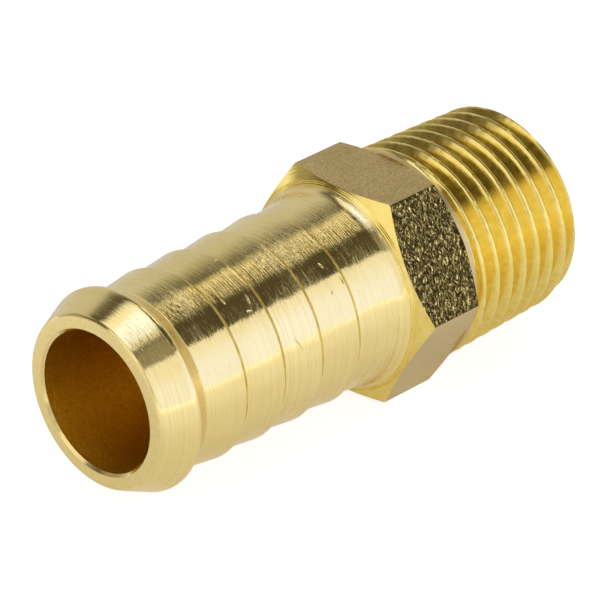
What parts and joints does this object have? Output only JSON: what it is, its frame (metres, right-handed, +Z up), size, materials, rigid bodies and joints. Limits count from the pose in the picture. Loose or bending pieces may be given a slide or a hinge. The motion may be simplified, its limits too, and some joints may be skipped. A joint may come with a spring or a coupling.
{
  "type": "hose barb tail",
  "caption": "Straight brass pipe fitting: a barbed hose tail with a rounded nose, a spanner hexagon and a male taper pipe thread, with a plain bore right through.",
  "frame": {"origin": "under the middle of the length, level with the lowest line of the fitting as it lies on its side", "axes": "+X along the bore from the nose of the tail to the threaded end; +Z up, square to the top flat of the hexagon; +Y across two corners of the hexagon"},
  "size_m": [0.0254, 0.0112, 0.01],
  "materials": {
    "brass": "bright brass, turned with fine rings on the tail, nose and thread; the flats of the hexagon matt and finely pitted"
  },
  "bodies": {
    "root": {"hose_barb_tail": "brass"}
  },
  "joints": []
}
